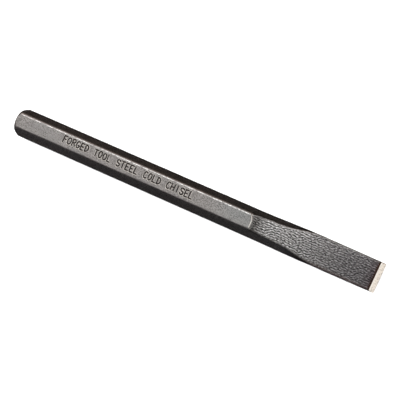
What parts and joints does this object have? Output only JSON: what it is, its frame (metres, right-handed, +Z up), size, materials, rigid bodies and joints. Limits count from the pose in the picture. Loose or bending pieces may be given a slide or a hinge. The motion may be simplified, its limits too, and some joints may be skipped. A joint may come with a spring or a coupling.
{
  "type": "cold chisel",
  "caption": "One-piece hexagonal steel bar with a chamfered head to strike, forged down to a flat blade that ends in a ground double-bevel edge for cutting metal.",
  "frame": {"origin": "under the middle of the chisel's length, in its mid-plane, on the surface its lower flat rests on", "axes": "+X along the bar from the struck head towards the cutting edge, +Z up out of the upper flat and the blade's upper face, +Y along the cutting edge"},
  "size_m": [0.1524, 0.0112, 0.0095],
  "materials": {
    "blackened_steel": "satin black oxide on rolled and forged tool steel",
    "ground_edge": "bare steel, ground across the edge"
  },
  "bodies": {
    "root": {"chisel": "blackened_steel"}
  },
  "joints": []
}
